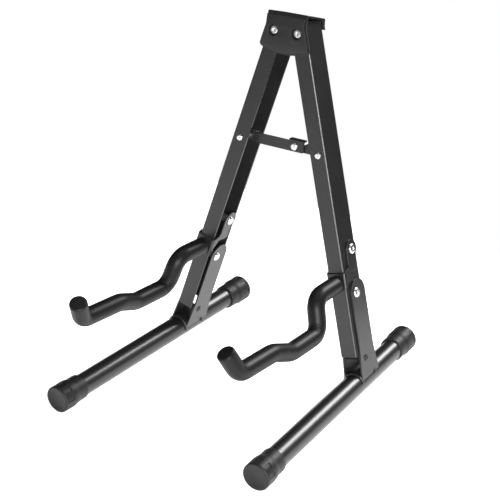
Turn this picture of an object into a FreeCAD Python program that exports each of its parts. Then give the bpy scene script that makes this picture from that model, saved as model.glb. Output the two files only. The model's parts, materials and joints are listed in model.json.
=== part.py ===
"""Folding A-frame guitar stand: a pressed-steel frame on two foot tubes, with two padded yoke arms.

Frame of the whole part: +Z up from the floor, -Y towards the player (the yokes point that way),
+X to the right. The origin is on the floor, under the middle of the part's bounding box.
Each side is drawn once, as the right one, in its leg's own axes: s is outwards, m is forwards,
and t runs down the leg from its top hinge rivet. The left side is its mirror image.
All sizes are in millimetres and degrees.
"""
import FreeCAD, Part
import math
import os
from FreeCAD import Placement, Rotation, Vector

# --- stance -------------------------------------------------------------------------------------
LEG_SPLAY = 16.0        # each leg from the middle plane, in the plane of the frame
LEG_LEAN = 7.2          # the frame's plane leans back by this
FOLDED_SPLAY = 2.5      # what is left of the splay when the legs are closed
HINGE_SPACING = 23.6    # between the two top hinge rivets
HINGE_TO_TUBE = 314.0   # along the leg, top hinge rivet to the foot tube's axis
TUBE_FRONT = 181.0      # foot tube and its cap, forward of the leg
TUBE_REAR = 91.0        # the same, behind the leg

# --- sheet metal --------------------------------------------------------------------------------
SHEET = 1.5
BEND = 2.2              # outer bend radius
LEG_WIDTH = 15.5
LEG_DEPTH = 27.0
LEG_TOP_FRONT = 9.6     # the leg's sloping top above the hinge, at its front
LEG_TOP_REAR = 7.0      # the same, at its rear
SIDE_GAP = 0.3          # between a leg and the sheet that straddles it

# --- rivets and pins ----------------------------------------------------------------------------
RIVET_R = 2.5
RUNNING = 0.05          # radial clearance of a turning fit
HEAD_R = 4.5
HEAD_HEIGHT = 1.6
TAIL_R = 4.0
SMALL_HEAD_R = 3.0      # brace rivets, and under the pad's wells
STUD_HEAD_R = 3.5
WELL_HEAD_R = 4.3
PLAY = 0.1              # end play under a rivet's heads
SPACER_R = 3.6
PIN_R = 2.0
PIN_HEAD_R = 3.2
PIN_HEAD_HEIGHT = 1.0

# --- places down the leg ------------------------------------------------------------------------
BRACE_T = 106.2
YOKE_T = 193.6
YOKE_M = -3.0
KNEE_T = 232.9
LOCK_DROP = 6.0         # the leg drops this far to lock
LOCK_PIN_T = 293.5
PIN_SWING_GAP = 0.4     # between the swinging leg end and the lock pin
NOTCH_DEPTH = 12.4
NOTCH_MOUTH = 8.0
NOTCH_EASE = 4.0        # radius where the mouth narrows to the pin

# --- top bracket and neck pad -------------------------------------------------------------------
BRACKET_ABOVE = 16.4    # the front fold above the hinge
BRACKET_FALL = 5.2      # the top slopes down by this to the rear fold
BRACKET_BELOW = 20.1
BRACKET_ARC_R = 70.0
BRACKET_TOP_HALF = 20.0
BRACKET_BOTTOM_HALF = 25.0
BRACKET_REAR_DEPTH = 9.8
FLARE_FROM, FLARE_TO = 4.6, -11.5
PAD_INSET = 1.0
PAD_TOP = 13.6          # above the hinge
PAD_THICK = 3.8
PAD_HOLE_R = 4.9

# --- folding brace ------------------------------------------------------------------------------
BAR_HEIGHT = 9.5
BAR_SHEET = 1.5
LONG_BAR = 51.0         # left pivot to the stud
LONG_BAR_END = 60.7     # left pivot to the bar's end
LONG_BAR_M = 2.7        # front face of the long bar
BAR_GAP = 0.5           # between the two bars
TAB_FROM = 45.3
TAB_REACH = 5.4
TAB_GAP = 0.2
HOOK_LIP = 5.0          # short bar beyond the stud
HOOK_RAMP = (16.0, 10.0)
STUD_CLEARANCE = 0.25

# --- yoke ---------------------------------------------------------------------------------------
YOKE_HEAD_R = 8.5
YOKE_EAR_BOTTOM = 20.0
YOKE_PLATE = (18.5, 33.5)
ROD_R = 5.0
SLEEVE_R = 8.0
SLEEVE_FIT = 0.05
SLEEVE_BACK = 2.0       # the sleeve starts this far in front of the plate
SLEEVE_END_WALL = 3.0
SLEEVE_EDGE = 2.0
# corners of the arm's centre line, (down, forward) from the yoke rivet, and bend radii
YOKE_LINE = [
    (27.5, 15.8, 0.0),
    (30.2, 55.5, 13.0),
    (60.8, 59.8, 13.0),
    (63.4, 105.0, 28.0),
    (55.9, 131.0, 28.0),
    (57.2, 180.6, 13.0),
    (35.8, 193.8, 0.0),
]

# --- lower leg, foot tube and caps --------------------------------------------------------------
EAR_R = 12.0
EAR_SHIFT = -3.5        # the cheek's middle line stands behind the knee rivet
CHEEK_FRONT, CHEEK_REAR = 12.5, -19.5
FLARE_START = 52.0      # below the knee rivet
TUBE_R = 10.0
TUBE_WALL = 1.2
WELD_FIT = 0.03
SADDLE_HALF = 12.0
CAP_R = 12.5
CAP_LENGTH = 29.0
CAP_HEAD = 14.0
CAP_MOUTH_R = 11.5
CAP_END_WALL = 4.0
CAP_EDGE = 1.0
CAP_FIT = 0.02
CAP_FLAT = 0.3          # pared off the bottom, where the cap stands
CAP_SHOULDER = 4.5      # head to mouth
CAP_MOUTH_EDGE = 0.8
POCKETS = 9
POCKET = (4.2, 8.0, 0.7)    # width, length, depth
POCKET_FROM_END = 2.5

FULL_ROUND = 0.999      # share of half a width that a rounded end takes

# --- worked out from the sizes above ------------------------------------------------------------
splay = math.radians(LEG_SPLAY)
lean = math.radians(LEG_LEAN)
half_width = LEG_WIDTH / 2
half_depth = LEG_DEPTH / 2
ear_inner = half_width + SIDE_GAP
ear_outer = ear_inner + SHEET
plate_inner = half_depth + SIDE_GAP
plate_outer = plate_inner + SHEET
hinge_x = HINGE_SPACING / 2

out = Vector(math.cos(splay), math.sin(splay) * math.sin(lean), math.sin(splay) * math.cos(lean))
back = Vector(0, math.cos(lean), -math.sin(lean))
up_leg = out.cross(back)
tube_back = Vector(-out.y, out.x, 0)
tube_back.normalize()
tube_up = out.cross(tube_back)
floor_tilt = math.degrees(math.atan2(out.z, tube_up.z))    # from the tube's own up to the floor's
tube_slope = tube_back.dot(up_leg) / tube_back.dot(back)   # down the leg per unit forwards

hinge_height = CAP_R - CAP_FLAT + up_leg.z * HINGE_TO_TUBE
hinge_point = Vector(hinge_x, up_leg.y * HINGE_TO_TUBE, hinge_height)
hinge_middle = Vector(0, hinge_point.y, hinge_point.z)


def axes(origin, x, y, z):
    """The placement whose own axes are x, y and z."""
    rows = (x.x, y.x, z.x, origin.x, x.y, y.y, z.y, origin.y, x.z, y.z, z.z, origin.z, 0, 0, 0, 1)
    return Placement(FreeCAD.Matrix(*rows))


LEG = axes(hinge_point, out, back, up_leg)
FOOT = axes(hinge_point - up_leg * HINGE_TO_TUBE, out, tube_back, tube_up)
TOP = axes(hinge_middle, Vector(1, 0, 0), back, Vector(0, math.sin(lean), math.cos(lean)))

OUTWARDS = Rotation(Vector(0, 0, 1), Vector(1, 0, 0))
FORWARDS = Rotation(Vector(0, 0, 1), Vector(0, -1, 0))


def leg_point(s, m, t):
    """A point of the leg's own axes."""
    return Vector(s, -m, -t)


def placed(shape, placement):
    """A copy of the shape, moved by the placement."""
    copy = shape.copy()
    copy.Placement = placement.multiply(copy.Placement)
    return copy


def rounded_wire(corners, closed=True):
    """Straight runs joined by tangent arcs; corners are (point, radius)."""
    count = len(corners)
    enter, leave, arcs = [], [], []
    for i, (point, radius) in enumerate(corners):
        if not radius:
            enter.append(point)
            leave.append(point)
            arcs.append(None)
            continue
        to_last = (corners[i - 1][0] - point).normalize()
        to_next = (corners[(i + 1) % count][0] - point).normalize()
        half_turn = (math.pi - to_last.getAngle(to_next)) / 2
        reach = radius * math.tan(half_turn)
        inward = (to_last + to_next).normalize()
        enter.append(point + to_last * reach)
        leave.append(point + to_next * reach)
        middle = point + inward * (radius / math.cos(half_turn) - radius)
        arcs.append(Part.Arc(enter[i], middle, leave[i]).toShape())
    edges = []
    for i in range(count):
        if arcs[i]:
            edges.append(arcs[i])
        if i + 1 == count and not closed:
            break
        start, end = leave[i], enter[(i + 1) % count]
        if start.distanceToPoint(end) > 1e-6:
            edges.append(Part.LineSegment(start, end).toShape())
    return Part.Wire(edges)


def sheet_in_fold_plane(outline, s_from, s_to):
    """A flat piece across the leg's width, from an outline of (m, t, radius)."""
    wire = rounded_wire([(leg_point(s_from, m, t), r) for m, t, r in outline])
    return Part.Face(wire).extrude(Vector(s_to - s_from, 0, 0))


def channel(half_w, front, rear, sheet, bend, low, high, open_side):
    """A U section along z. open_side is "in" (web outwards) or "rear" (web forwards)."""
    inner_bend = bend - sheet
    if open_side == "in":
        corners = [
            (-half_w, -front, 0), (half_w, -front, bend), (half_w, rear, bend), (-half_w, rear, 0),
            (-half_w, rear - sheet, 0), (half_w - sheet, rear - sheet, inner_bend),
            (half_w - sheet, sheet - front, inner_bend), (-half_w, sheet - front, 0),
        ]
    else:
        corners = [
            (-half_w, rear, 0), (-half_w, -front, bend), (half_w, -front, bend), (half_w, rear, 0),
            (half_w - sheet, rear, 0), (half_w - sheet, sheet - front, inner_bend),
            (sheet - half_w, sheet - front, inner_bend), (sheet - half_w, rear, 0),
        ]
    wire = rounded_wire([(Vector(x, y, low), r) for x, y, r in corners])
    return Part.Face(wire).extrude(Vector(0, 0, high - low))


def drill(shape, radius, start, direction, length):
    """The shape with a round hole."""
    return shape.cut(Part.makeCylinder(radius, length, start, direction))


def turned(profile):
    """A solid of revolution about z from (radius, z) points; a None before a point makes an arc
    through that point to the one after it."""
    edges, i = [], 1
    points = [p if p is None else Vector(p[0], 0, p[1]) for p in profile]
    here = points[0]
    while i < len(points):
        if points[i] is None:
            edges.append(Part.Arc(here, points[i + 1], points[i + 2]).toShape())
            here = points[i + 2]
            i += 3
        else:
            edges.append(Part.LineSegment(here, points[i]).toShape())
            here = points[i]
            i += 1
    edges.append(Part.LineSegment(here, points[0]).toShape())
    return Part.Face(Part.Wire(edges)).revolve(Vector(0, 0, 0), Vector(0, 0, 1), 360)


def rivet_head(radius, height):
    """A domed head on z = 0 with the dimple of a tubular rivet."""
    dimple, floor = 0.34 * radius, 0.45 * height
    return turned([
        (0, 0), (radius, 0), (radius, 0.25 * height),
        None, (0.86 * radius, 0.72 * height), (0.55 * radius, height),
        (dimple, height), (0.8 * dimple, floor), (0, floor),
    ])


def rivet(grip, head_r=HEAD_R, tail_r=TAIL_R, shank_r=RIVET_R, height=HEAD_HEIGHT):
    """A rivet along z: its shank fills 0 to grip, its head is beyond grip and its tail below 0."""
    shank = Part.makeCylinder(shank_r, grip)
    head = placed(rivet_head(head_r, height), Placement(Vector(0, 0, grip), Rotation()))
    over = Rotation(Vector(1, 0, 0), 180)
    tail = placed(rivet_head(tail_r, 0.85 * height), Placement(Vector(), over))
    return shank.fuse([head, tail]).removeSplitter()


def across(grip_half, t, m=0.0, **sizes):
    """A rivet through both cheeks or ears, along s."""
    body = rivet(2 * grip_half, **sizes)
    return placed(body, Placement(leg_point(-grip_half, m, t), OUTWARDS))


def spacer(s_from, s_to, t, m=0.0):
    """A sleeve on a rivet that runs along s."""
    start = leg_point(s_from, m, t)
    sleeve = Part.makeCylinder(SPACER_R, s_to - s_from, start, Vector(1, 0, 0))
    return drill(sleeve, RIVET_R + RUNNING, start, Vector(1, 0, 0), s_to - s_from)


# --- top bracket --------------------------------------------------------------------------------
def bracket_outline(inset, top, y_from, y_to):
    """The bracket's front outline as a prism: straight sides that flare to an arc below."""
    top_half, bottom_half = BRACKET_TOP_HALF - inset, BRACKET_BOTTOM_HALF - inset
    right = [(top_half, top, 0), (top_half, FLARE_FROM, 12), (bottom_half, FLARE_TO, 6),
             (bottom_half, -BRACKET_ARC_R, 0)]
    corners = right + [(-x, z, r) for x, z, r in reversed(right)]
    wire = rounded_wire([(Vector(x, y_from, z), r) for x, z, r in corners])
    prism = Part.Face(wire).extrude(Vector(0, y_to - y_from, 0))
    arc_centre = Vector(0, y_from, BRACKET_ARC_R - BRACKET_BELOW)
    return prism.common(
        Part.makeCylinder(BRACKET_ARC_R - 2 * inset, y_to - y_from, arc_centre, Vector(0, 1, 0)))


def top_bracket():
    """Sheet folded over both leg tops: a front plate, a sloping top and a short rear lip."""
    front_top, low = BRACKET_ABOVE, -2 * BRACKET_BELOW
    rear_top = front_top - BRACKET_FALL
    rear_low = rear_top - BRACKET_REAR_DEPTH
    half, inner_bend = BRACKET_BOTTOM_HALF + 1, BEND - SHEET
    slope = BRACKET_FALL / (2 * plate_outer)
    drop = SHEET * math.hypot(1, slope)
    corners = [
        (-plate_outer, low, 0), (-plate_outer, front_top, BEND), (plate_outer, rear_top, BEND),
        (plate_outer, rear_low, 0), (plate_inner, rear_low, 0),
        (plate_inner, rear_top + SHEET * slope - drop, inner_bend),
        (-plate_inner, front_top - SHEET * slope - drop, inner_bend), (-plate_inner, low, 0),
    ]
    wire = rounded_wire([(Vector(-half, y, z), r) for y, z, r in corners])
    shape = Part.Face(wire).extrude(Vector(2 * half, 0, 0))
    shape = shape.common(bracket_outline(0, front_top, -plate_outer - 1, plate_outer + 1))
    for x in (-hinge_x, hinge_x):
        shape = drill(shape, RIVET_R, Vector(x, -plate_outer - 1, 0), Vector(0, 1, 0), SHEET + 2)
    return shape


def neck_pad():
    """The moulded pad on the bracket's front, with a well round each hinge rivet."""
    front = -plate_outer - PAD_THICK
    shape = bracket_outline(PAD_INSET, PAD_TOP, front, -plate_outer)
    for x in (-hinge_x, hinge_x):
        shape = drill(shape, PAD_HOLE_R, Vector(x, front - 1, 0), Vector(0, 1, 0), PAD_THICK + 1)
    return shape


def hinge_rivet():
    """Through the bracket's front plate and the leg's front flange."""
    flange_inner = half_depth - SHEET
    grip = plate_outer - flange_inner + PLAY
    body = rivet(grip, head_r=WELL_HEAD_R)
    return placed(body, Placement(Vector(hinge_x, PLAY - flange_inner, 0), FORWARDS))


# --- legs ---------------------------------------------------------------------------------------
def leg_end_t():
    """How far down the leg can reach and still swing past the lock pin."""
    swing = LOCK_PIN_T - PIN_R - PIN_SWING_GAP - KNEE_T
    return KNEE_T + math.sqrt(swing ** 2 - half_depth ** 2)


def upper_leg():
    """A U channel, open towards the other leg."""
    end = leg_end_t()
    shape = channel(half_width, half_depth, half_depth, SHEET, BEND, -end, LEG_TOP_FRONT, "in")
    wide = half_width + 1
    over = LEG_TOP_FRONT + 1
    corners = [(-half_depth, LEG_TOP_FRONT), (half_depth, LEG_TOP_REAR), (half_depth, over),
               (-half_depth, over)]
    wire = rounded_wire([(Vector(-wide, y, z), 0) for y, z in corners])
    shape = shape.cut(Part.Face(wire).extrude(Vector(2 * wide, 0, 0)))
    shape = drill(shape, RIVET_R + RUNNING, leg_point(0, half_depth + 1, 0), Vector(0, 1, 0), SHEET + 2)
    shape = drill(shape, RIVET_R, leg_point(0, half_depth + 1, BRACE_T), Vector(0, 1, 0), LEG_DEPTH + 2)
    web_in = half_width - SHEET - 1
    shape = drill(shape, RIVET_R, leg_point(web_in, YOKE_M, YOKE_T), Vector(1, 0, 0), SHEET + 2)
    slot_r = RIVET_R + RUNNING
    slot_low, slot_high = KNEE_T + slot_r, KNEE_T - LOCK_DROP - slot_r
    slot = [(m, t, slot_r * FULL_ROUND) for m, t in (
        (slot_r, slot_low), (slot_r, slot_high), (-slot_r, slot_high), (-slot_r, slot_low))]
    shape = shape.cut(sheet_in_fold_plane(slot, web_in, half_width + 1))
    root = PIN_R + RUNNING
    notch = [
        (NOTCH_MOUTH / 2, end + 1, 0), (root, end - NOTCH_DEPTH / 2, NOTCH_EASE),
        (root, end - NOTCH_DEPTH, root * 0.9), (-root, end - NOTCH_DEPTH, root * 0.9),
        (-root, end - NOTCH_DEPTH / 2, NOTCH_EASE), (-NOTCH_MOUTH / 2, end + 1, 0),
    ]
    return shape.cut(sheet_in_fold_plane(notch, web_in, half_width + 1))


def brace_rivet():
    """Through both flanges of a leg, with the brace bar on its middle."""
    body = rivet(LEG_DEPTH, head_r=SMALL_HEAD_R, tail_r=SMALL_HEAD_R)
    return placed(body, Placement(leg_point(0, -half_depth, BRACE_T), FORWARDS))


def brace_spacers(bar_front):
    """The two sleeves that hold a brace bar at its depth in the channel."""
    flange = half_depth - SHEET
    sleeves = []
    for front, rear in ((flange, bar_front + PLAY), (bar_front - BAR_SHEET - PLAY, -flange)):
        start = leg_point(0, front, BRACE_T)
        sleeve = Part.makeCylinder(SPACER_R, front - rear, start, Vector(0, 1, 0))
        sleeves.append(drill(sleeve, RIVET_R, start, Vector(0, 1, 0), front - rear))
    return Part.makeCompound(sleeves)


# --- brace --------------------------------------------------------------------------------------
brace_x = hinge_x + BRACE_T * math.sin(splay)
brace_z = -BRACE_T * math.cos(splay)
short_bar = 2 * brace_x - LONG_BAR
short_bar_m = LONG_BAR_M - BAR_SHEET - BAR_GAP
half_bar = BAR_HEIGHT / 2


def bar(outline, front):
    """A flat bar from an outline of (x, z, radius) about the brace's middle line."""
    wire = rounded_wire([(Vector(x, -front, z + brace_z), r) for x, z, r in outline])
    return Part.Face(wire).extrude(Vector(0, BAR_SHEET, 0))


def brace_long():
    """The bar on the left leg, with a stop tab bent back over its free end."""
    left, right = -brace_x - half_bar, LONG_BAR_END - brace_x
    round_end = half_bar * FULL_ROUND
    shape = bar([(left, half_bar, round_end), (right, half_bar, 0), (right, -half_bar, 1.2),
                 (left, -half_bar, round_end)], LONG_BAR_M)
    tab_low = half_bar + TAB_GAP
    corner = Vector(TAB_FROM - brace_x, -LONG_BAR_M, brace_z + half_bar - 0.01)
    riser = Part.makeBox(LONG_BAR_END - TAB_FROM, BAR_SHEET, TAB_GAP + BAR_SHEET, corner)
    lip_corner = Vector(corner.x, -LONG_BAR_M, brace_z + tab_low)
    lip = Part.makeBox(LONG_BAR_END - TAB_FROM, TAB_REACH, BAR_SHEET, lip_corner)
    shape = shape.fuse([riser, lip]).removeSplitter()
    bend_edge = [e for e in shape.Edges if e.Length > LONG_BAR_END - TAB_FROM - 0.5
                 and e.BoundBox.ZMin > brace_z + tab_low + BAR_SHEET - 0.1
                 and e.BoundBox.YMax < -LONG_BAR_M + 0.01]
    shape = shape.makeFillet(BAR_SHEET * 0.8, bend_edge)
    for x, radius in ((-brace_x, RIVET_R + RUNNING), (LONG_BAR - brace_x, RIVET_R)):
        start = Vector(x, -LONG_BAR_M - 1, brace_z)
        shape = drill(shape, radius, start, Vector(0, 1, 0), BAR_SHEET + 2)
    return shape


def brace_stud():
    """The stud on the long bar that sits in the short bar's hook."""
    rear = short_bar_m - BAR_SHEET - BAR_GAP / 2
    body = rivet(LONG_BAR_M - rear, head_r=STUD_HEAD_R, tail_r=TAIL_R)
    return placed(body, Placement(Vector(LONG_BAR - brace_x, -rear, brace_z), FORWARDS))


def brace_short():
    """The bar on the right leg: a hook, open upwards, that holds the stud."""
    left, right = LONG_BAR - brace_x - HOOK_LIP, brace_x + half_bar
    round_end = half_bar * FULL_ROUND
    shape = bar([(left, half_bar, 1.5), (right, half_bar, round_end), (right, -half_bar, round_end),
                 (left, -half_bar, 2.5)], short_bar_m)
    start = Vector(brace_x, -short_bar_m - 1, brace_z)
    shape = drill(shape, RIVET_R + RUNNING, start, Vector(0, 1, 0), BAR_SHEET + 2)
    stud = Vector(LONG_BAR - brace_x, -short_bar_m - 1, brace_z)
    mouth = Part.makePolygon([stud, stud + Vector(HOOK_RAMP[0], 0, HOOK_RAMP[1]),
                              stud + Vector(0, 0, HOOK_RAMP[1]), stud])
    mouth = Part.Face(mouth).makeOffset2D(RIVET_R + STUD_CLEARANCE)
    return shape.cut(mouth.extrude(Vector(0, BAR_SHEET + 2, 0)))


# --- yoke ---------------------------------------------------------------------------------------
def yoke_point(down, forward):
    return leg_point(0, YOKE_M + forward, YOKE_T + down)


def yoke_bracket():
    """A clip folded round the leg's front: two ears and the plate that carries the arm."""
    plate_top, plate_low = YOKE_T + YOKE_PLATE[0], YOKE_T + YOKE_PLATE[1]
    rear = YOKE_HEAD_R - YOKE_M
    shape = channel(ear_outer, plate_outer, rear + 1, SHEET, BEND, -plate_low - 1,
                    YOKE_HEAD_R + 1 - YOKE_T, "rear")
    head_front, head_rear = YOKE_M + YOKE_HEAD_R, YOKE_M - YOKE_HEAD_R
    head_r = YOKE_HEAD_R * FULL_ROUND
    front = plate_outer + 0.5
    outline = [
        (head_front, YOKE_T - YOKE_HEAD_R, head_r), (head_front, plate_top - 4, 4),
        (front, plate_top, 0), (front, plate_low, 0),
        (half_depth - 8, YOKE_T + YOKE_EAR_BOTTOM, 3), (head_rear + 4, YOKE_T + YOKE_EAR_BOTTOM, 3.5),
        (head_rear + 4, YOKE_T + YOKE_HEAD_R, 6), (head_rear, YOKE_T + 1, 3),
        (head_rear, YOKE_T - YOKE_HEAD_R, head_r),
    ]
    shape = shape.common(sheet_in_fold_plane(outline, -ear_outer - 1, ear_outer + 1))
    start = leg_point(-ear_outer - 1, YOKE_M, YOKE_T)
    return drill(shape, RIVET_R + RUNNING, start, Vector(1, 0, 0), 2 * ear_outer + 2)


def yoke_sweep(radius, start_m, short_by):
    """A round bar along the arm's centre line, from a depth in front of the leg to near its end."""
    line = [list(corner) for corner in YOKE_LINE]
    first, second = line[0], line[1]
    share = (start_m - YOKE_M - first[1]) / (second[1] - first[1])
    first[0] += share * (second[0] - first[0])
    first[1] += share * (second[1] - first[1])
    last, before = line[-1], line[-2]
    run = math.hypot(last[0] - before[0], last[1] - before[1])
    for k in (0, 1):
        last[k] += (before[k] - last[k]) * short_by / run
    path = rounded_wire([(yoke_point(d, f), r) for d, f, r in line], closed=False)
    start = path.Vertexes[0].Point
    heading = yoke_point(*second[:2]) - start
    profile = Part.Wire(Part.makeCircle(radius, start, heading))
    return path.makePipeShell([profile], True, False)


def yoke_rod():
    """The bent steel rod, welded to the clip's plate."""
    shape = yoke_sweep(ROD_R, plate_outer - 2, SLEEVE_END_WALL)
    low = Vector(-20, -plate_outer, -HINGE_TO_TUBE)
    return shape.cut(Part.makeBox(40, plate_outer + 20, HINGE_TO_TUBE, low))


def yoke_sleeve():
    """The soft sleeve over the rod, closed over its end."""
    start_m = plate_outer + SLEEVE_BACK
    shape = yoke_sweep(SLEEVE_R, start_m, 0)
    bore = yoke_sweep(ROD_R + SLEEVE_FIT, start_m - 3, SLEEVE_END_WALL - SLEEVE_FIT)
    tip = yoke_point(*YOKE_LINE[-1][:2])
    rim = [e for e in shape.Edges if e.Closed and e.CenterOfMass.distanceToPoint(tip) < 1.0]
    return shape.makeFillet(SLEEVE_EDGE, rim).cut(bore)


# --- lower leg and foot -------------------------------------------------------------------------
def lower_leg():
    """A fork of two cheeks, joined by a saddle that is welded on the foot tube."""
    top = KNEE_T - EAR_R
    front, rear = EAR_SHIFT + EAR_R, EAR_SHIFT - EAR_R
    ear_r = EAR_R * FULL_ROUND
    flare = KNEE_T + FLARE_START
    outline = [
        (CHEEK_FRONT, HINGE_TO_TUBE + CHEEK_FRONT * tube_slope, 0), (front, flare, 40),
        (front, top, ear_r), (rear, top, ear_r),
        (rear, flare, 40), (CHEEK_REAR, HINGE_TO_TUBE + CHEEK_REAR * tube_slope, 0),
    ]
    cheeks = [sheet_in_fold_plane(outline, s, s + SHEET) for s in (ear_inner, -ear_outer)]
    saddle_r, tube_fit, saddle_side = TUBE_R + SHEET, TUBE_R + WELD_FIT, ear_outer - SHEET / 3
    start, length = Vector(0, -SADDLE_HALF, 0), 2 * SADDLE_HALF
    saddle = Part.makeCylinder(saddle_r, length, start, Vector(0, 1, 0))
    saddle = saddle.common(
        Part.makeBox(2 * saddle_side, length, CAP_R, Vector(-saddle_side, -SADDLE_HALF, TUBE_WALL)))
    to_leg = LEG.inverse().multiply(FOOT)
    shape = placed(saddle, to_leg).fuse(cheeks)
    start = Vector(0, -4 * SADDLE_HALF, 0)
    tube_space = Part.makeCylinder(tube_fit, 8 * SADDLE_HALF, start, Vector(0, 1, 0))
    shape = shape.cut(placed(tube_space, to_leg))
    for t, radius in ((KNEE_T, RIVET_R + RUNNING), (LOCK_PIN_T, PIN_R)):
        start = leg_point(-ear_outer - 1, 0, t)
        shape = drill(shape, radius, start, Vector(1, 0, 0), 2 * ear_outer + 2)
    return shape.removeSplitter()


def foot_tube():
    """The steel tube, from cap wall to cap wall."""
    low, high = CAP_END_WALL - TUBE_FRONT, TUBE_REAR - CAP_END_WALL
    start, along = Vector(0, low, 0), Vector(0, 1, 0)
    tube = Part.makeCylinder(TUBE_R, high - low, start, along)
    return drill(tube, TUBE_R - TUBE_WALL, start, along, high - low)


def foot_cap():
    """A rubber cap on z = 0 to CAP_LENGTH, its closed end at 0, with shallow grip pockets."""
    bore = TUBE_R + CAP_FIT
    shape = turned([
        (0, 0), (CAP_R - CAP_EDGE, 0),
        None, (CAP_R - 0.29 * CAP_EDGE, 0.29 * CAP_EDGE), (CAP_R, CAP_EDGE),
        (CAP_R, CAP_HEAD),
        None, (CAP_R - 0.3 * (CAP_R - CAP_MOUTH_R), CAP_HEAD + CAP_SHOULDER / 2),
        (CAP_MOUTH_R, CAP_HEAD + CAP_SHOULDER),
        (CAP_MOUTH_R, CAP_LENGTH - CAP_MOUTH_EDGE),
        None, (CAP_MOUTH_R - 0.29 * CAP_MOUTH_EDGE, CAP_LENGTH - 0.29 * CAP_MOUTH_EDGE),
        (CAP_MOUTH_R - CAP_MOUTH_EDGE, CAP_LENGTH),
        (bore, CAP_LENGTH), (bore, CAP_END_WALL), (0, CAP_END_WALL),
    ])
    width, length, depth = POCKET
    for i in range(POCKETS):
        corner = Vector(CAP_R - depth, -width / 2, POCKET_FROM_END)
        pocket = Part.makeBox(2 * depth, width, length, corner)
        turn = Rotation(Vector(0, 0, 1), i * 360 / POCKETS)
        shape = shape.cut(placed(pocket, Placement(Vector(), turn)))
    return shape


def capped(y, towards):
    """The foot cap with its closed end at y on the tube, its mouth towards +1 or -1, pared flat
    where it stands on the floor."""
    turn = Rotation(Vector(0, 0, 1), Vector(0, towards, 0))
    cap = placed(foot_cap(), Placement(Vector(0, y, 0), turn))
    corner = Vector(-CAP_LENGTH, y - CAP_LENGTH, CAP_FLAT - 2 * CAP_R)
    below = Part.makeBox(2 * CAP_LENGTH, 2 * CAP_LENGTH, CAP_R, corner)
    return cap.cut(placed(below, Placement(Vector(), Rotation(Vector(0, 1, 0), floor_tilt))))


# --- the whole stand ----------------------------------------------------------------------------
def side_nodes(spacers_front):
    """Every node of one side, in the right leg's place."""
    rivet_half = ear_outer + PLAY
    spacer_in, spacer_out = PLAY - ear_inner, half_width - SHEET - PLAY
    leg = {
        "upper_leg": upper_leg(),
        "brace_rivet": brace_rivet(),
        "brace_spacers": brace_spacers(spacers_front),
        "yoke_rivet": across(rivet_half, YOKE_T, YOKE_M),
        "yoke_spacer": spacer(spacer_in, spacer_out, YOKE_T, YOKE_M),
        "yoke_clip": yoke_bracket(),
        "yoke_rod": yoke_rod(),
        "yoke_sleeve": yoke_sleeve(),
        "knee_rivet": across(rivet_half, KNEE_T),
        "knee_spacer": spacer(spacer_in, spacer_out, KNEE_T),
        "lower_leg": lower_leg(),
        "lock_pin": across(ear_outer, LOCK_PIN_T, head_r=PIN_HEAD_R, tail_r=PIN_HEAD_R,
                           shank_r=PIN_R, height=PIN_HEAD_HEIGHT),
    }
    foot = {
        "foot_tube": foot_tube(),
        "front_foot_cap": capped(-TUBE_FRONT, 1),
        "rear_foot_cap": capped(TUBE_REAR, -1),
    }
    nodes = {name: placed(shape, LEG) for name, shape in leg.items()}
    nodes.update({name: placed(shape, FOOT) for name, shape in foot.items()})
    nodes["hinge_rivet"] = placed(hinge_rivet(), TOP)
    return nodes


def build():
    """All nodes by name, in the stand's own frame before its origin is centred."""
    nodes = {name: placed(make(), TOP) for name, make in (
        ("top_bracket", top_bracket), ("neck_pad", neck_pad), ("brace_long", brace_long),
        ("brace_stud", brace_stud), ("brace_short", brace_short))}
    for name, shape in side_nodes(short_bar_m).items():
        nodes[name + "_right"] = shape
    for name, shape in side_nodes(LONG_BAR_M).items():
        nodes[name + "_left"] = shape.mirror(Vector(0, 0, 0), Vector(1, 0, 0))
    return nodes


def main():
    os.makedirs("parts", exist_ok=True)
    nodes = build()
    box = Part.makeCompound(list(nodes.values())).optimalBoundingBox(False, False)
    shift = Vector(0, -box.Center.y, 0)
    for name, shape in nodes.items():
        shape = shape.copy()
        shape.translate(shift)
        shape.exportStep(os.path.join("parts", name + ".step"))
    print("size", [round(v, 2) for v in (box.XLength, box.YLength, box.ZLength)])
    points = {
        "hinge": (LEG, leg_point(0, 0, 0)), "brace": (LEG, leg_point(0, 0, BRACE_T)),
        "yoke": (LEG, leg_point(0, YOKE_M, YOKE_T)), "knee": (LEG, leg_point(0, 0, KNEE_T)),
        "foot": (FOOT, Vector(0, 0, 0)),
    }
    for name, (frame, point) in points.items():
        print("point", name, [round(v, 4) for v in frame.multVec(point) + shift])
    for name, axis in (("out", out), ("back", back), ("up_leg", up_leg), ("tube_back", tube_back)):
        print("axis", name, [round(v, 7) for v in axis])


main()
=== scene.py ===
# %% [markdown]
# # A folding guitar stand
# The frame below is the finished engineering model: pressed-steel legs, rivets, foot tubes. It is loaded
# as it is. What the eye needs on top of it is made here: broken edges that catch the light, the soft
# sleeves and pad, moulded rubber caps, weld beads, and one material for each real finish.

# %% Load the frame
import json
import math

import bpy
from mathutils import Matrix, Vector


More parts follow.
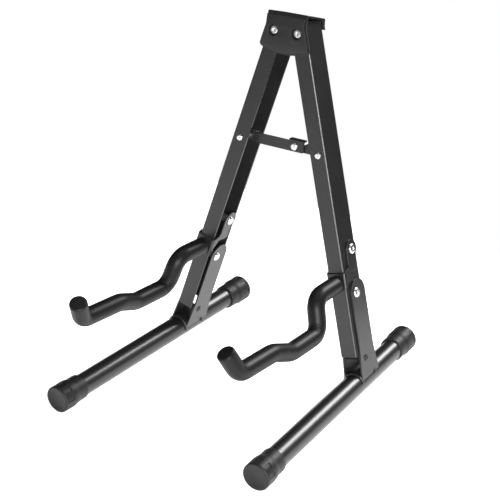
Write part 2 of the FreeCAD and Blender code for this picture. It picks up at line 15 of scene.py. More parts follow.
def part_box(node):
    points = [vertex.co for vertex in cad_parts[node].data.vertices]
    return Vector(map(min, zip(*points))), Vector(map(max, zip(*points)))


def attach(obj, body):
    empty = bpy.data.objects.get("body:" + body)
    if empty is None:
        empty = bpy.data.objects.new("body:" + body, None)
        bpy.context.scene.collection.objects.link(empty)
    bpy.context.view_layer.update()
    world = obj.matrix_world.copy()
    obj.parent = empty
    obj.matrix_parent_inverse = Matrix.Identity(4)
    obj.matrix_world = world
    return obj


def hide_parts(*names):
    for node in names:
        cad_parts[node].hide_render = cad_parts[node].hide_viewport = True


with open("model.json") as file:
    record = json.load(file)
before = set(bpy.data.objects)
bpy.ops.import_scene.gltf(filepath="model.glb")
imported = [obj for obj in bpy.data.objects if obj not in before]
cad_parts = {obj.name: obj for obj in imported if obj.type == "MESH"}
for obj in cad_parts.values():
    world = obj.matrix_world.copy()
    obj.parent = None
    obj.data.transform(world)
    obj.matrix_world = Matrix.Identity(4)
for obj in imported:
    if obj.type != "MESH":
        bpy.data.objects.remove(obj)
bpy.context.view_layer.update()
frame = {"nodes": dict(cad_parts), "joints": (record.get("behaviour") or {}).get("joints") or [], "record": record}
joints = {joint["name"]: joint for joint in frame["joints"]}
MM = 0.001
SIDES = ("right", "left")

# %% [markdown]
# ## The camera
# The camera stands well back with a long lens, so that parallel tubes stay nearly parallel. It is set by
# what it looks at, how far off it is, and its two angles.

# %% Camera
CAMERA_AZIMUTH = math.radians(34.0)
CAMERA_ELEVATION = math.radians(25.33)
CAMERA_DISTANCE = 1188.4 * MM
LENS, SENSOR = 96.75, 36.0
foot_y = joints["right_knee_fold"]["pos_m"][1] - 9.77 * MM
target = Vector((1.4 * MM, foot_y - 35.0 * MM, 129.3 * MM))
towards = Vector((
    math.sin(CAMERA_AZIMUTH) * math.cos(CAMERA_ELEVATION),
    -math.cos(CAMERA_AZIMUTH) * math.cos(CAMERA_ELEVATION),
    math.sin(CAMERA_ELEVATION),
))
bpy.ops.object.camera_add(location=target + towards * CAMERA_DISTANCE)
camera = bpy.context.object
camera.rotation_euler = (-towards).to_track_quat("-Z", "Y").to_euler()
camera.data.lens, camera.data.sensor_width = LENS, SENSOR
camera.data.clip_start, camera.data.clip_end = 0.05, 20.0
bpy.context.scene.camera = camera
print("camera:", [round(c, 3) for c in camera.location])

# %% [markdown]
# ## Floor and light
# White paper lies underneath and to the front left. Beyond it the room is dark, so that black steel has
# something dark to show, though the camera itself sees white. The main soft box stands to the front right
# and shines into the open side of the far leg. A square one behind draws the bright line along each tube,
# and a low strip on the right lights the rounded edges.

# %% Colours and nodes
def linear(hex_colour):
    """An sRGB hex colour as linear red, green, blue and alpha."""
    channels = [int(hex_colour[i:i + 2], 16) / 255 for i in (1, 3, 5)]
    return [c / 12.92 if c <= 0.04045 else ((c + 0.055) / 1.055) ** 2.4 for c in channels] + [1.0]


def add_node(tree, kind, inputs=None, links=None, **settings):
    """A shader node with its settings, the values of its sockets, and what feeds them."""
    made = tree.nodes.new(kind)
    for name, value in settings.items():
        setattr(made, name, value)
    for name, value in (inputs or {}).items():
        made.inputs[name].default_value = value
    for name, source in (links or {}).items():
        tree.links.new(source, made.inputs[name])
    return made


def empty_material(name):
    """A material with no nodes in its tree yet."""
    material = bpy.data.materials.new(name)
    material.use_nodes = True
    material.node_tree.nodes.clear()
    return material, material.node_tree


# %% Floor and lights
WHITE = linear("#ffffff")
FLOOR_SIZE, FLOOR_MIDDLE = 2.0, (-0.62, -0.62, -0.0002)
bpy.ops.mesh.primitive_plane_add(size=FLOOR_SIZE, location=FLOOR_MIDDLE)
floor = bpy.context.object
floor.name = "floor_paper"
paper, tree = empty_material("white_paper")
surface = add_node(tree, "ShaderNodeBsdfPrincipled", {
    "Base Color": WHITE, "Roughness": 1.0, "Specular IOR Level": 0.0,
    "Emission Color": WHITE, "Emission Strength": 0.85})
add_node(tree, "ShaderNodeOutputMaterial", links={"Surface": surface.outputs["BSDF"]})
floor.data.materials.append(paper)

world = bpy.data.worlds.new("studio")
bpy.context.scene.world = world
world.use_nodes = True
world.node_tree.nodes.clear()
rays = add_node(world.node_tree, "ShaderNodeLightPath")
room = add_node(world.node_tree, "ShaderNodeBackground", {"Color": WHITE, "Strength": 0.05})
backdrop = add_node(world.node_tree, "ShaderNodeBackground", {"Color": WHITE, "Strength": 1.0})
both = add_node(world.node_tree, "ShaderNodeMixShader")
for socket, source in enumerate((rays.outputs["Is Camera Ray"], room.outputs[0], backdrop.outputs[0])):
    world.node_tree.links.new(source, both.inputs[socket])
add_node(world.node_tree, "ShaderNodeOutputWorld", links={"Surface": both.outputs[0]})

LIT_POINT = Vector((0, 0, 0.15))
# name: place in metres, size in metres, watts
SOFT_BOXES = {
    "main_front_right": ((0.98, -1.25, 0.62), (0.5, 0.5), 36),
    "fill_front_left": ((-1.1, -1.5, 1.0), (0.9, 0.9), 1.5),
    "tube_line_back": ((0.55, 1.62, 1.35), (0.7, 0.7), 50),
    "edge_strip_right": ((1.7, -1.0, 0.35), (0.12, 0.9), 22),
    "top": ((0.0, 0.1, 1.9), (0.9, 0.9), 5),
}
for name, (place, size, watts) in SOFT_BOXES.items():
    aim = LIT_POINT - Vector(place)
    bpy.ops.object.light_add(type="AREA", location=place)
    light = bpy.context.object
    light.name = name
    light.rotation_euler = aim.to_track_quat("-Z", "Y").to_euler()
    light.data.shape = "RECTANGLE"
    light.data.size, light.data.size_y = size
    light.data.energy = watts
bpy.context.scene.view_settings.view_transform = "Standard"
print("lights:", ", ".join(SOFT_BOXES))

# %% [markdown]
# ## Powder-coated steel
# Powder coat is a plastic skin baked onto the sheet. It is not quite smooth: the melt leaves a soft
# orange-peel about a millimetre across, under a finer grain. So a black matt plastic with two bumps
# gives it, and the gloss varies a little where the coat ran thicker.

# %% Powder coat
powder_coat, tree = empty_material("satin_powder_coat")
where = add_node(tree, "ShaderNodeTexCoord")
PEEL_MM, GRAIN_MM, CLOUD_MM = 1.1, 0.35, 22.0
peel = add_node(tree, "ShaderNodeTexNoise", {"Scale": 1 / (PEEL_MM * MM), "Detail": 2.0},
                {"Vector": where.outputs["Object"]})
grain = add_node(tree, "ShaderNodeTexNoise", {"Scale": 1 / (GRAIN_MM * MM), "Detail": 1.0},
                 {"Vector": where.outputs["Object"]})
cloud = add_node(tree, "ShaderNodeTexNoise", {"Scale": 1 / (CLOUD_MM * MM), "Detail": 3.0},
                 {"Vector": where.outputs["Object"]})
peel_bump = add_node(tree, "ShaderNodeBump", {"Strength": 0.12, "Distance": 0.00012},
                     {"Height": peel.outputs["Fac"]})
grain_bump = add_node(tree, "ShaderNodeBump", {"Strength": 0.15, "Distance": 0.00005},
                      {"Height": grain.outputs["Fac"], "Normal": peel_bump.outputs["Normal"]})
tone = add_node(tree, "ShaderNodeValToRGB", links={"Fac": cloud.outputs["Fac"]})
tone.color_ramp.elements[0].color = linear("#161617")
tone.color_ramp.elements[1].color = linear("#1d1d1e")
gloss = add_node(tree, "ShaderNodeMapRange", {"To Min": 0.3, "To Max": 0.38},
                 {"Value": cloud.outputs["Fac"]})
surface = add_node(tree, "ShaderNodeBsdfPrincipled", {"IOR": 1.5}, {
    "Base Color": tone.outputs["Color"], "Roughness": gloss.outputs["Result"],
    "Normal": grain_bump.outputs["Normal"]})
add_node(tree, "ShaderNodeOutputMaterial", links={"Surface": surface.outputs["BSDF"]})
print("material:", powder_coat.name)

# %% [markdown]
# ## Painted tube
# The foot tubes are wet-painted and glossier than the pressed parts. A drawn tube keeps faint lines along
# its length, so a noise that is stretched along the tube is all its bump.

# %% Painted tube
tube_paint, tree = empty_material("gloss_tube_paint")
where = add_node(tree, "ShaderNodeTexCoord")
DRAW_MM, DRAW_LENGTH_MM = 0.5, 40.0
stretch = add_node(tree, "ShaderNodeMapping", {
    "Scale": (1 / (DRAW_MM * MM), 1 / (DRAW_LENGTH_MM * MM), 1 / (DRAW_MM * MM))},
    {"Vector": where.outputs["Object"]})
lines = add_node(tree, "ShaderNodeTexNoise", {"Scale": 1.0, "Detail": 2.0},
                 {"Vector": stretch.outputs["Vector"]})
bump = add_node(tree, "ShaderNodeBump", {"Strength": 0.02, "Distance": 0.00001},
                {"Height": lines.outputs["Fac"]})
gloss = add_node(tree, "ShaderNodeMapRange", {"To Min": 0.32, "To Max": 0.36},
                 {"Value": lines.outputs["Fac"]})
surface = add_node(tree, "ShaderNodeBsdfPrincipled", {"Base Color": linear("#151516"), "IOR": 1.5}, {
    "Roughness": gloss.outputs["Result"], "Normal": bump.outputs["Normal"]})
add_node(tree, "ShaderNodeOutputMaterial", links={"Surface": surface.outputs["BSDF"]})
print("material:", tube_paint.name)

# %% [markdown]
# ## Zinc-plated rivets and black pins
# The rivets are steel tube with bright zinc on it: a metal whose gloss is uneven, from the tool that
# rolled the head over. The lock pins are blackened by an oxide bath, which leaves a dark, duller metal.
# Both take their marks from one noise at the width of a tool mark.

# %% Zinc and black oxide
zinc, tree = empty_material("bright_zinc_plate")
where = add_node(tree, "ShaderNodeTexCoord")
TOOL_MM = 0.8
marks = add_node(tree, "ShaderNodeTexNoise", {"Scale": 1 / (TOOL_MM * MM), "Detail": 3.0},
                 {"Vector": where.outputs["Object"]})
gloss = add_node(tree, "ShaderNodeMapRange", {"To Min": 0.22, "To Max": 0.4},
                 {"Value": marks.outputs["Fac"]})
bump = add_node(tree, "ShaderNodeBump", {"Strength": 0.1, "Distance": 0.0001},
                {"Height": marks.outputs["Fac"]})
surface = add_node(tree, "ShaderNodeBsdfPrincipled", {"Base Color": linear("#e4e4e6"), "Metallic": 1.0}, {
    "Roughness": gloss.outputs["Result"], "Normal": bump.outputs["Normal"]})
add_node(tree, "ShaderNodeOutputMaterial", links={"Surface": surface.outputs["BSDF"]})

black_oxide, tree = empty_material("black_oxide_steel")
where = add_node(tree, "ShaderNodeTexCoord")
marks = add_node(tree, "ShaderNodeTexNoise", {"Scale": 1 / (TOOL_MM * MM), "Detail": 2.0},
                 {"Vector": where.outputs["Object"]})
gloss = add_node(tree, "ShaderNodeMapRange", {"To Min": 0.3, "To Max": 0.5},
                 {"Value": marks.outputs["Fac"]})
surface = add_node(tree, "ShaderNodeBsdfPrincipled", {"Base Color": linear("#2a2a2c"), "Metallic": 0.6},
                   {"Roughness": gloss.outputs["Result"]})
add_node(tree, "ShaderNodeOutputMaterial", links={"Surface": surface.outputs["BSDF"]})
print("materials:", zinc.name, black_oxide.name)

# %% [markdown]
# ## Foam sleeve and moulded rubber
# The sleeves are closed-cell foam with a smooth skin: dark, soft-looking, with a broad dull highlight and
# cells that just print through. The pad and caps are moulded rubber, with the fine even grain of a blasted
# mould. Both reflect less than a paint does, so their specular level is low.

# %% Foam and rubber
sleeve_foam, tree = empty_material("smooth_skin_foam")
where = add_node(tree, "ShaderNodeTexCoord")
CELL_MM, FOLD_MM = 0.7, 9.0
cells = add_node(tree, "ShaderNodeTexVoronoi", {"Scale": 1 / (CELL_MM * MM)},
                 {"Vector": where.outputs["Object"]})
folds = add_node(tree, "ShaderNodeTexNoise", {"Scale": 1 / (FOLD_MM * MM), "Detail": 3.0},
                 {"Vector": where.outputs["Object"]})
cell_bump = add_node(tree, "ShaderNodeBump", {"Strength": 0.1, "Distance": 0.00008},
                     {"Height": cells.outputs["Distance"]})
fold_bump = add_node(tree, "ShaderNodeBump", {"Strength": 0.2, "Distance": 0.0005},
                     {"Height": folds.outputs["Fac"], "Normal": cell_bump.outputs["Normal"]})
tone = add_node(tree, "ShaderNodeValToRGB", links={"Fac": folds.outputs["Fac"]})
tone.color_ramp.elements[0].color = linear("#0f0f10")
tone.color_ramp.elements[1].color = linear("#161617")
surface = add_node(tree, "ShaderNodeBsdfPrincipled", {
    "Roughness": 0.42, "IOR": 1.4, "Specular IOR Level": 0.24}, {
    "Base Color": tone.outputs["Color"], "Normal": fold_bump.outputs["Normal"]})
add_node(tree, "ShaderNodeOutputMaterial", links={"Surface": surface.outputs["BSDF"]})


def moulded_rubber(name, dark, light, roughness):
    """Rubber from a blasted mould: a fine even grain over two close tones."""
    material, tree = empty_material(name)
    grain_mm, bloom_mm = 0.45, 14.0
    where = add_node(tree, "ShaderNodeTexCoord")
    grain = add_node(tree, "ShaderNodeTexNoise", {"Scale": 1 / (grain_mm * MM), "Detail": 2.0},
                     {"Vector": where.outputs["Object"]})
    bloom = add_node(tree, "ShaderNodeTexNoise", {"Scale": 1 / (bloom_mm * MM), "Detail": 3.0},
                     {"Vector": where.outputs["Object"]})
    bump = add_node(tree, "ShaderNodeBump", {"Strength": 0.25, "Distance": 0.00008},
                    {"Height": grain.outputs["Fac"]})
    tone = add_node(tree, "ShaderNodeValToRGB", links={"Fac": bloom.outputs["Fac"]})
    tone.color_ramp.elements[0].color = linear(dark)
    tone.color_ramp.elements[1].color = linear(light)
    surface = add_node(tree, "ShaderNodeBsdfPrincipled", {
        "Roughness": roughness, "IOR": 1.45, "Specular IOR Level": 0.32}, {
        "Base Color": tone.outputs["Color"], "Normal": bump.outputs["Normal"]})
    add_node(tree, "ShaderNodeOutputMaterial", links={"Surface": surface.outputs["BSDF"]})
    return material


pad_rubber = moulded_rubber("moulded_pad_rubber", "#19191a", "#202021", 0.5)
cap_rubber = moulded_rubber("moulded_cap_rubber", "#141415", "#1b1b1c", 0.48)
print("materials:", sleeve_foam.name, pad_rubber.name, cap_rubber.name)

# %% [markdown]
# ## Steel parts with broken edges
# Pressed and coated sheet never has a knife edge: the coat rounds it, and that thin round is what draws
# the pale line down each leg. A merged copy of the engineering mesh gets a small bevel on its sharp
# edges. Smooth shading would then tilt the flat faces towards their round edges, so the normals are
# weighted by area, which keeps each flat flat.

# %% Rounded edges
def only(piece):
    """Selects this piece alone and makes it active."""
    if bpy.context.object and bpy.context.object.mode != "OBJECT":
        bpy.ops.object.mode_set(mode="OBJECT")
    bpy.ops.object.select_all(action="DESELECT")
    piece.select_set(True)
    bpy.context.view_layer.objects.active = piece


def apply_bevel(piece, width_mm, segments=3, angle=30):
    """Rounds the piece's sharp edges."""
    only(piece)
    bpy.ops.object.modifier_add(type="BEVEL")
    bevel = piece.modifiers[-1]
    bevel.width, bevel.segments = width_mm * MM, segments
    bevel.limit_method, bevel.angle_limit = "ANGLE", math.radians(angle)
    bevel.use_clamp_overlap = True
    bpy.ops.object.modifier_apply(modifier=bevel.name)


def finish_piece(piece, material, body, slot, *nodes):
    """Material, body and the engineering nodes that the piece stands for; the slot is not used."""
    piece.data.materials.clear()
    piece.data.materials.append(material)
    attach(piece, body)
    if nodes:
        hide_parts(*nodes)
    return piece


# %% Copies of the engineering meshes
body_of_node = {node: body for body, nodes in frame["record"]["behaviour"]["bodies"].items()
                for node in nodes}


def merged_copy(node, name):
    """A copy of an engineering node, its loose triangles joined into faces."""
    piece = bpy.data.objects.new(name, frame["nodes"][node].data.copy())
    bpy.context.scene.collection.objects.link(piece)
    only(piece)
    if piece.data.has_custom_normals:
        bpy.ops.mesh.customdata_custom_splitnormals_clear()
    bpy.ops.object.mode_set(mode="EDIT")
    bpy.ops.mesh.select_all(action="SELECT")
    bpy.ops.mesh.remove_doubles(threshold=0.002 * MM)
    bpy.ops.mesh.dissolve_limited(angle_limit=math.radians(0.5))
    bpy.ops.object.mode_set(mode="OBJECT")
    return piece


def coated_copy(node, material, slot, bevel_mm, name):
    """A merged copy of an engineering node, its sharp edges rounded."""
    piece = merged_copy(node, name)
    apply_bevel(piece, bevel_mm)
    bpy.ops.object.shade_smooth_by_angle(angle=math.radians(35))
    bpy.ops.object.modifier_add(type="WEIGHTED_NORMAL")
    weighted = piece.modifiers[-1]
    weighted.keep_sharp = True
    bpy.ops.object.modifier_apply(modifier=weighted.name)
    return finish_piece(piece, material, body_of_node[node], slot, node)


# %% Steel parts
COAT_EDGE_MM, RIVET_EDGE_MM = 0.28, 0.12
steel_nodes = ["top_bracket", "brace_long", "brace_short"]
zinc_nodes = ["brace_stud"]
for side in SIDES:
    steel_nodes += [f"{name}_{side}" for name in ("upper_leg", "lower_leg", "yoke_clip", "yoke_rod")]
    zinc_nodes += [f"{name}_{side}" for name in (
        "hinge_rivet", "brace_rivet", "yoke_rivet", "knee_rivet",
        "brace_spacers", "yoke_spacer", "knee_spacer")]
for node in steel_nodes:
    coated_copy(node, powder_coat, "satin_black", COAT_EDGE_MM, "coated_" + node)
for node in zinc_nodes:
    coated_copy(node, zinc, "zinc", RIVET_EDGE_MM, "plated_" + node)
for side in SIDES:
    coated_copy(f"lock_pin_{side}", black_oxide, "black_pin", RIVET_EDGE_MM,
                f"blackened_lock_pin_{side}")
    coated_copy(f"foot_tube_{side}", tube_paint, "gloss_black", COAT_EDGE_MM, f"painted_tube_{side}")
print("steel parts:", len(steel_nodes) + len(zinc_nodes) + 2 * len(SIDES))

# %% [markdown]
# ## Sleeves over the yoke arms
# A foam tube is pushed over the bent rod, so it follows the rod's bends and puckers on the inside of each
# tight one. It is modelled as it is made: a ring is pushed straight, then spun round the bend's centre,
# and so on to the closed end.

# %% Sleeve route
OUT = -Vector(joints["right_yoke_fold"]["axis"])
UP_LEG = Vector(joints["right_lock_drop"]["axis"])
FORWARD = -Vector(joints["right_leg_close"]["axis"])
YOKE_RIVET = Vector(joints["right_yoke_fold"]["pos_m"])
SLEEVE_R_MM = 8.0
SLEEVE_START_MM = 20.3      # forward of the yoke rivet
RING_SIDES = 40
# corners of the arm's centre line, (down, forward) from the yoke rivet, and bend radii, in mm
ARM_LINE = [
    (27.5, 15.8, 0.0), (30.2, 55.5, 13.0), (60.8, 59.8, 13.0), (63.4, 105.0, 28.0),
    (55.9, 131.0, 28.0), (57.2, 180.6, 13.0), (35.8, 193.8, 0.0),
]


def arm_point(down, forward):
    """A point in the arm's plane, given in mm from the yoke rivet."""
    return YOKE_RIVET + (FORWARD * forward - UP_LEG * down) * MM


def bends(line):
    """Each bend as its entry point, its centre, its signed angle and its radius in mm."""
    found = []
    for (d0, f0, _), (d1, f1, radius), (d2, f2, _) in zip(line, line[1:], line[2:]):
        corner, before, after = arm_point(d1, f1), arm_point(d0, f0), arm_point(d2, f2)
        come, go = (corner - before).normalized(), (after - corner).normalized()
        turn = come.angle(go)
        sign = 1 if come.cross(go).dot(OUT) > 0 else -1
        entry = corner - come * radius * MM * math.tan(turn / 2)
        centre = entry + sign * OUT.cross(come) * radius * MM
        found.append((entry, centre, sign * turn, radius))
    return found


arm_bends = bends(ARM_LINE)
print("arm bends:", [round(math.degrees(angle)) for _, _, angle, _ in arm_bends], "degrees")

# %% Sleeve
SPIN_SIGN = -1      # mesh.spin turns the other way round the axis than a vector rotation does
MOUTH_EDGE_MM, HOOK_EDGE_MM, HOOK_INSET_MM = 1.2, 2.0, 1.5
RUN_STEP_MM, BEND_STEP_MM = 3.0, 1.0


def ring_centre():
    """The middle of the selected ring, in edit mode."""
    bpy.ops.object.mode_set(mode="OBJECT")
    points = [v.co for v in bpy.context.object.data.vertices if v.select]
    middle = sum(points, Vector()) / len(points)
    bpy.ops.object.mode_set(mode="EDIT")
    return middle


def push(by, grow=1.0):
    """Extrudes the selected ring by a vector and scales the new one about its middle."""
    bpy.ops.mesh.extrude_region_move(TRANSFORM_OT_translate={"value": by})
    if grow != 1.0:
        bpy.ops.transform.resize(value=(grow, grow, grow), center_override=ring_centre())


def push_along(run):
    """Extrudes the selected ring along a straight run, in even steps."""
    pieces = max(1, round(run.length / (RUN_STEP_MM * MM)))
    for _ in range(pieces):
        push(run / pieces)


def rounded_mouth(heading):
    """Rounds the open end's rim, from its face out to the sleeve's full radius."""
    steps = 3
    grown = SLEEVE_R_MM - MOUTH_EDGE_MM
    for i in range(steps):
        a0, a1 = (math.pi / 2) * i / steps, (math.pi / 2) * (i + 1) / steps
        wider = SLEEVE_R_MM - MOUTH_EDGE_MM + MOUTH_EDGE_MM * math.sin(a1)
        push(heading * MOUTH_EDGE_MM * MM * (math.cos(a0) - math.cos(a1)), wider / grown)
        grown = wider


def rounded_end(heading):
    """Rounds the closed end's rim over a quarter turn and fills the end."""
    steps = 4
    for i in range(steps):
        a0, a1 = (math.pi / 2) * i / steps, (math.pi / 2) * (i + 1) / steps
        r0 = SLEEVE_R_MM - HOOK_EDGE_MM * (1 - math.cos(a0))
        r1 = SLEEVE_R_MM - HOOK_EDGE_MM * (1 - math.cos(a1))
        push(heading * HOOK_EDGE_MM * MM * (math.sin(a1) - math.sin(a0)), r1 / r0)
    bpy.ops.mesh.edge_face_add()
    bpy.ops.mesh.inset(thickness=HOOK_INSET_MM * MM)


def yoke_sleeve():
    """The right arm's sleeve, from the clip to its closed hook end."""
    first, second = arm_point(*ARM_LINE[0][:2]), arm_point(*ARM_LINE[1][:2])
    heading = (second - first).normalized()
    share = (SLEEVE_START_MM - ARM_LINE[0][1]) / (ARM_LINE[1][1] - ARM_LINE[0][1])
    start = first.lerp(second, share)
    bpy.ops.object.select_all(action="DESELECT")
    turn = heading.to_track_quat("Z", "X").to_euler()
    bpy.ops.mesh.primitive_circle_add(vertices=RING_SIDES, radius=(SLEEVE_R_MM - MOUTH_EDGE_MM) * MM,
                                      fill_type="NOTHING", location=start, rotation=turn)
    sleeve = bpy.context.object
    sleeve.name = "sleeve_right"
    bpy.ops.object.transform_apply(location=True, rotation=True, scale=True)
    bpy.ops.object.mode_set(mode="EDIT")
    bpy.ops.mesh.select_all(action="SELECT")
    bpy.ops.mesh.edge_face_add()
    rounded_mouth(heading)
    for entry, centre, angle, radius in arm_bends:
        push_along(entry - ring_centre())
        steps = max(4, round(abs(angle) * radius / BEND_STEP_MM))
        bpy.ops.mesh.spin(steps=steps, angle=SPIN_SIGN * angle, center=centre, axis=OUT, dupli=False)
    last, before = arm_point(*ARM_LINE[-1][:2]), arm_point(*ARM_LINE[-2][:2])
    heading = (last - before).normalized()
    push_along((last - heading * HOOK_EDGE_MM * MM) - ring_centre())
    rounded_end(heading)
    bpy.ops.mesh.select_all(action="SELECT")
    bpy.ops.mesh.remove_doubles(threshold=0.01 * MM)
    bpy.ops.mesh.normals_make_consistent(inside=False)
    bpy.ops.object.mode_set(mode="OBJECT")
    return sleeve


# %% Puckers in the sleeve's tight bends
PUCKER_DEPTH_MM, PUCKER_WAVE_MM, TIGHT_BEND_MM = 0.55, 3.2, 20.0


def pucker(piece):
    """Small folds on the inside of each tight bend, deepest at the middle of the bend."""
    for entry, centre, angle, radius in arm_bends:
        if radius > TIGHT_BEND_MM:
            continue
        start_arm = (entry - centre).normalized()
        side_arm = OUT.cross(start_arm) * (1 if angle > 0 else -1)
        for vertex in piece.data.vertices:
            arm = vertex.co - centre
            across = arm.dot(OUT)
            flat = arm - OUT * across
            if not 0.1 * MM < flat.length < radius * MM + 9 * MM:
                continue
            along = math.atan2(flat.dot(side_arm), flat.dot(start_arm)) / abs(angle)
            if not -0.15 < along < 1.15:
                continue
            inner = (radius * MM - flat.length) / (SLEEVE_R_MM * MM)
            weight = max(0.0, min(1.0, inner + 0.35)) * math.sin(math.pi * (along + 0.15) / 1.3)
            wave = math.cos(2 * math.pi * along * abs(angle) * radius / PUCKER_WAVE_MM)
            depth = PUCKER_DEPTH_MM * MM * weight * (0.5 + 0.5 * wave)
            middle = centre + flat.normalized() * radius * MM
            vertex.co -= (vertex.co - middle).normalized() * depth


def mirrored(piece, name):
    """The same piece for the left side."""
    twin = bpy.data.objects.new(name, piece.data.copy())
    bpy.context.scene.collection.objects.link(twin)
    twin.data.transform(Matrix.Scale(-1, 4, Vector((1, 0, 0))))
    only(twin)
    bpy.ops.object.mode_set(mode="EDIT")
    bpy.ops.mesh.select_all(action="SELECT")
    bpy.ops.mesh.normals_make_consistent(inside=False)
    bpy.ops.object.mode_set(mode="OBJECT")
    return twin


def smooth_by_subdivision(piece):
    """One level of subdivision, applied, and smooth shading."""
    only(piece)
    bpy.ops.object.modifier_add(type="SUBSURF")
    piece.modifiers[-1].levels = piece.modifiers[-1].render_levels = 1
    bpy.ops.object.modifier_apply(modifier=piece.modifiers[-1].name)
    bpy.ops.object.shade_smooth()


# %% Both sleeves
sleeve_right = yoke_sleeve()
pucker(sleeve_right)
smooth_by_subdivision(sleeve_right)
sleeve_left = mirrored(sleeve_right, "sleeve_left")
for side, piece in zip(SIDES, (sleeve_right, sleeve_left)):
    finish_piece(piece, sleeve_foam, "yoke_" + side, "foam_sleeve", "yoke_sleeve_" + side)
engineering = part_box("yoke_sleeve_right")
own = [[f(v.co[i] for v in sleeve_right.data.vertices) for i in range(3)] for f in (min, max)]
for label, box in (("sleeve", own), ("engineering", engineering)):
    print(label, [[round(c / MM, 1) for c in corner] for corner in box], "mm")

# %% [markdown]
# ## Neck pad
# A moulded pad covers the bracket's front: crowned from top to bottom, soft at its edges, and with a well
# over each hinge rivet, so the rivets can be set after the pad is on. A flat copy of its engineering
# shape is sliced across, each slice is moved back by the crown, and a wide bevel softens the edges.

# %% Neck pad
HINGE = Vector(joints["right_leg_close"]["pos_m"])
TOP_UP = Vector((1, 0, 0)).cross(-FORWARD)
PAD_CROWN_MM, PAD_BACK_MM, PAD_THICK_MM = 1.3, 15.3, 3.8
PAD_LOW_MM, PAD_HIGH_MM, PAD_SLICE_MM = -18.5, 13.6, 2.0
PAD_EDGE_MM = 0.9


def crowned_pad():
    """The pad, thickest at mid height."""
    piece = merged_copy("neck_pad", "pad_front")
    bpy.ops.object.mode_set(mode="EDIT")
    height = PAD_LOW_MM + PAD_SLICE_MM
    while height < PAD_HIGH_MM - 1:
        bpy.ops.mesh.select_all(action="SELECT")
        bpy.ops.mesh.bisect(plane_co=HINGE + TOP_UP * height * MM, plane_no=TOP_UP)
        height += PAD_SLICE_MM
    bpy.ops.object.mode_set(mode="OBJECT")
    middle, half = (PAD_HIGH_MM + PAD_LOW_MM) / 2, (PAD_HIGH_MM - PAD_LOW_MM) / 2
    for vertex in piece.data.vertices:
        from_hinge = (vertex.co - HINGE) / MM
        off_middle = (from_hinge.dot(TOP_UP) - middle) / half
        share = max(0.0, (from_hinge.dot(FORWARD) - PAD_BACK_MM) / PAD_THICK_MM)
        vertex.co -= FORWARD * PAD_CROWN_MM * MM * share * off_middle ** 2
    apply_bevel(piece, PAD_EDGE_MM, segments=4, angle=40)
    bpy.ops.object.shade_smooth_by_angle(angle=math.radians(40))
    return piece


pad = finish_piece(crowned_pad(), pad_rubber, "top", "soft_pad", "neck_pad")
print("pad:", len(pad.data.polygons), "faces")

# %% [markdown]
# ## Foot caps
# Each cap is a rubber moulding: a thick head with shallow grip pockets round it, a rounded shoulder, and
# a thinner mouth over the tube. A profile is spun round, the pockets are sunk into the head, and the
# underside is flattened on the floor.

# %% Foot caps
CAP_LENGTH_MM = 29.0
CAP_COLUMNS, POCKETS = 72, 9
POCKET_RIM_MM, POCKET_DEPTH_MM = 0.35, 0.75
# radius and distance from the closed end, in mm
CAP_PROFILE = [
    (0.0, 0.5), (9.0, 0.5), (9.6, 0.0), (11.6, 0.0), (12.2, 0.25), (12.5, 0.9), (12.5, 2.4),
    (12.5, 10.6), (12.5, 13.6), (12.35, 15.2), (11.95, 16.9), (11.6, 18.4), (11.5, 20.0),
    (11.5, 27.6), (11.35, 28.6), (10.9, 29.0), (10.02, 28.9), (10.02, 26.0),
]


def foot_cap(name, place):
    """A cap with its closed end at the place's origin and its mouth along the place's +Z."""
    bpy.ops.object.select_all(action="DESELECT")
    bpy.ops.mesh.primitive_plane_add(size=0.01)
    cap = bpy.context.object
    cap.name = name
    bpy.ops.object.mode_set(mode="EDIT")
    bpy.ops.mesh.select_all(action="SELECT")
    bpy.ops.mesh.merge(type="CENTER")
    start = Vector((CAP_PROFILE[0][0], 0, CAP_PROFILE[0][1])) * MM
    bpy.ops.transform.translate(value=start - ring_centre())
    for (r0, z0), (r1, z1) in zip(CAP_PROFILE, CAP_PROFILE[1:]):
        bpy.ops.mesh.extrude_region_move(
            TRANSFORM_OT_translate={"value": ((r1 - r0) * MM, 0, (z1 - z0) * MM)})
    bpy.ops.mesh.select_all(action="SELECT")
    bpy.ops.mesh.spin(steps=CAP_COLUMNS, angle=2 * math.pi, center=(0, 0, 0), axis=(0, 0, 1), dupli=False)
    bpy.ops.mesh.select_all(action="SELECT")
    bpy.ops.mesh.remove_doubles(threshold=0.01 * MM)
    bpy.ops.mesh.normals_make_consistent(inside=False)
    bpy.ops.mesh.select_all(action="DESELECT")
    bpy.ops.object.mode_set(mode="OBJECT")
    per_pocket = CAP_COLUMNS // POCKETS
    for face in cap.data.polygons:
        middle = face.center
        if 2.4 * MM < middle.z < 10.6 * MM and middle.xy.length > 12 * MM:
            column = int(math.degrees(math.atan2(middle.y, middle.x)) % 360 / (360 / CAP_COLUMNS))
            face.select = column % per_pocket < per_pocket // 2
    bpy.ops.object.mode_set(mode="EDIT")
    bpy.ops.mesh.select_mode(type="FACE")
    bpy.ops.mesh.inset(thickness=POCKET_RIM_MM * MM)
    bpy.ops.transform.shrink_fatten(value=-POCKET_DEPTH_MM * MM)
    bpy.ops.mesh.select_mode(type="VERT")
    bpy.ops.object.mode_set(mode="OBJECT")
    cap.data.transform(place)
    for vertex in cap.data.vertices:
        vertex.co.z = max(vertex.co.z, 0.0)
    only(cap)
    bpy.ops.object.shade_smooth_by_angle(angle=math.radians(50))
    return cap


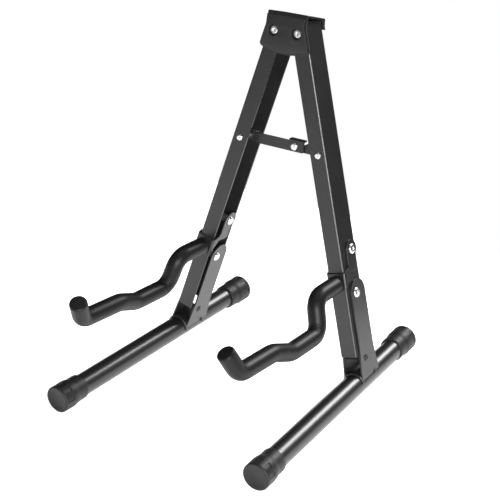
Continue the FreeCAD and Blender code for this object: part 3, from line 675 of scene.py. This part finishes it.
tube_back = Vector((0, 0, 1)).cross(OUT).normalized()
for side in SIDES:
    flip = 1 if side == "right" else -1
    back = Vector((tube_back.x * flip, tube_back.y, 0))
    tube_low, tube_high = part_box("foot_tube_" + side)
    tube_middle = (tube_low + tube_high) / 2
    for end, towards_mouth in (("front", back), ("rear", -back)):
        cap_low, cap_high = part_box(f"{end}_foot_cap_{side}")
        cap_middle = (cap_low + cap_high) / 2
        origin = cap_middle - towards_mouth * CAP_LENGTH_MM / 2 * MM
        origin.z = tube_middle.z
        across = Vector((0, 0, 1)).cross(towards_mouth)
        place = Matrix((across, Vector((0, 0, 1)), towards_mouth)).transposed().to_4x4()
        place.translation = origin
        cap = foot_cap(f"cap_{end}_{side}", place)
        finish_piece(cap, cap_rubber, "foot_" + side, "cap_rubber", f"{end}_foot_cap_{side}")
print("caps: 4, each with", len(cap.data.polygons), "faces")

# %% [markdown]
# ## Weld beads
# The saddle is welded to the foot tube along both its edges, and each arm's rod to its clip. A weld is a
# row of overlapping puddles. It is a torus whose thickness swells and shrinks as it goes round, cut down
# to the length of the seam. It is coated with the steel round it.

# %% Weld beads
BEAD_MM, PUDDLE_MM = 0.9, 2.6
SADDLE_HALF_MM, SADDLE_RING_MM = 12.2, 10.5
ROD_WELD_MM, ROD_RING_MM = 2.9, 5.3
HINGE_TO_TUBE_MM = 314.0
BEAD_ABOVE_MM = 1.5
TUBE_UP = OUT.cross(tube_back)
CROSSING = HINGE - UP_LEG * HINGE_TO_TUBE_MM * MM


def weld_bead(name, centre, axis, ring_mm, above=None):
    """A ring of weld about the axis, or only its part on one side of the centre."""
    bpy.ops.object.select_all(action="DESELECT")
    bpy.ops.mesh.primitive_torus_add(major_radius=ring_mm * MM, minor_radius=BEAD_MM * MM,
                                     major_segments=120, minor_segments=10)
    bead = bpy.context.object
    bead.name = name
    puddles = round(2 * math.pi * ring_mm / PUDDLE_MM)
    for vertex in bead.data.vertices:
        round_way = math.atan2(vertex.co.y, vertex.co.x)
        core = Vector((math.cos(round_way), math.sin(round_way), 0)) * ring_mm * MM
        swell = 0.85 + 0.2 * abs(math.sin(puddles * round_way / 2))
        vertex.co = core + (vertex.co - core) * swell
    bead.data.transform(axis.to_track_quat("Z", "Y").to_matrix().to_4x4())
    bead.data.transform(Matrix.Translation(centre))
    if above:
        bpy.ops.object.mode_set(mode="EDIT")
        bpy.ops.mesh.select_all(action="SELECT")
        bpy.ops.mesh.bisect(plane_co=centre + above * BEAD_ABOVE_MM * MM, plane_no=above,
                            use_fill=True, clear_inner=True)
        bpy.ops.object.mode_set(mode="OBJECT")
    bpy.ops.object.shade_smooth_by_angle(angle=math.radians(60))
    return bead


arm_start, arm_next = arm_point(*ARM_LINE[0][:2]), arm_point(*ARM_LINE[1][:2])
arm_heading = (arm_next - arm_start).normalized()
to_edge = tube_back * SADDLE_HALF_MM * MM
rod_weld = arm_start + arm_heading * ROD_WELD_MM * MM
# name: centre, axis, ring radius in mm, the side that is kept, and the body's name without its side
beads = {
    "weld_saddle_front": (CROSSING - to_edge, tube_back, SADDLE_RING_MM, TUBE_UP, "foot_"),
    "weld_saddle_rear": (CROSSING + to_edge, tube_back, SADDLE_RING_MM, TUBE_UP, "foot_"),
    "weld_rod": (rod_weld, arm_heading, ROD_RING_MM, None, "yoke_"),
}
for name, (centre, axis, ring_mm, above, body) in beads.items():
    bead = weld_bead(name + "_right", centre, axis, ring_mm, above)
    twin = mirrored(bead, name + "_left")
    for side, piece in zip(SIDES, (bead, twin)):
        finish_piece(piece, powder_coat, body + side, "satin_black")
print("weld beads:", 2 * len(beads))
